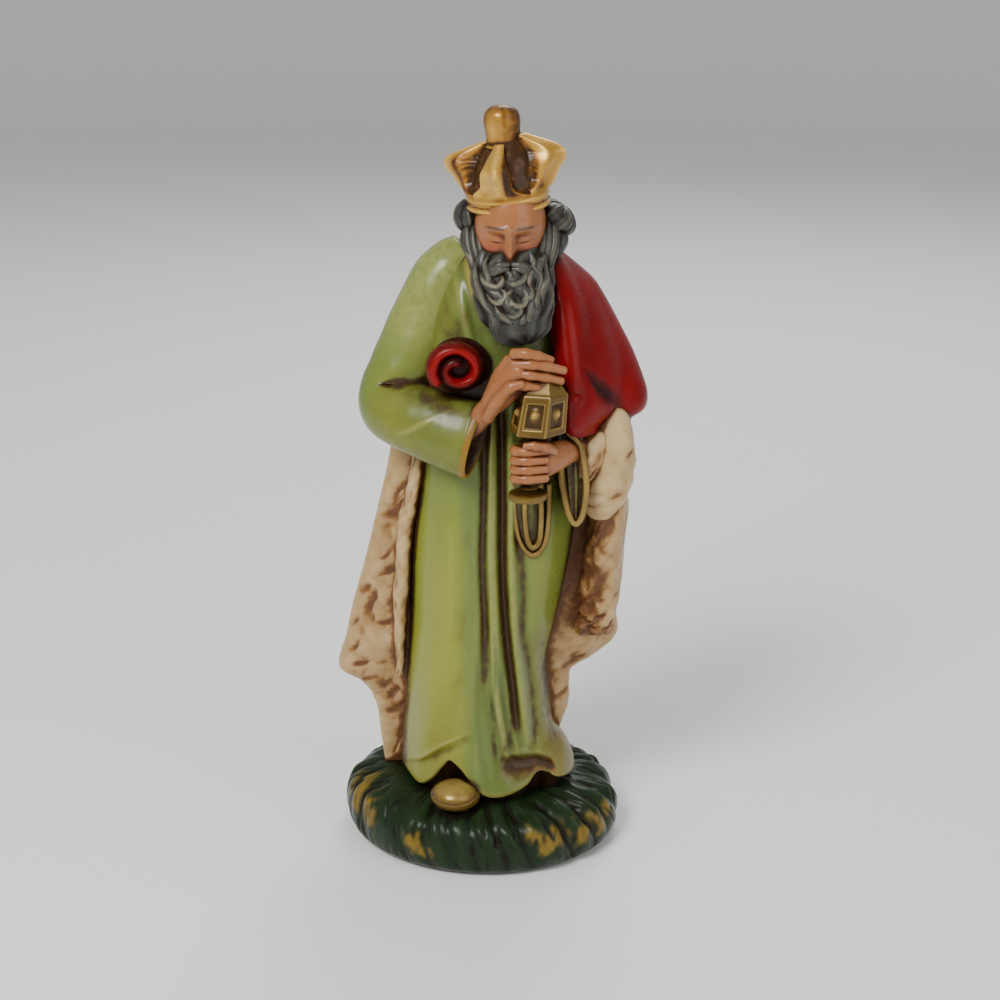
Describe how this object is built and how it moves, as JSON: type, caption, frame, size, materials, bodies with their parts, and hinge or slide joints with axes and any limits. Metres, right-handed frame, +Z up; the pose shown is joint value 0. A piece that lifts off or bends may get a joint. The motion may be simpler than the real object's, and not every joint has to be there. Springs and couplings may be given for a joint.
{
  "type": "nativity wise man figurine",
  "caption": "Painted plaster crib king with a bowed, crowned head and a fur-lined cloak, holding a covered gold vessel and standing on an oval grassy base.",
  "frame": {"origin": "centre of the base's flat underside", "axes": "+Z up to the crown, -Y the way the king faces, +X to the viewer's right"},
  "size_m": [0.1034, 0.088, 0.2512],
  "materials": {
    "robe_green": "varnished yellow-green paint on plaster, brown in the folds",
    "cape_red": "varnished dark red paint on plaster",
    "fur_cream": "satin cream paint on plaster, brown in the clefts",
    "gold": "antique gold bronze paint on plaster",
    "skin": "satin flesh paint on plaster",
    "hair_grey": "slate grey paint on plaster, ridges brushed lighter",
    "base_green": "varnished dark green paint with ochre grass tips on plaster"
  },
  "bodies": {
    "root": {"wise_man_figurine": "robe_green"}
  },
  "joints": []
}
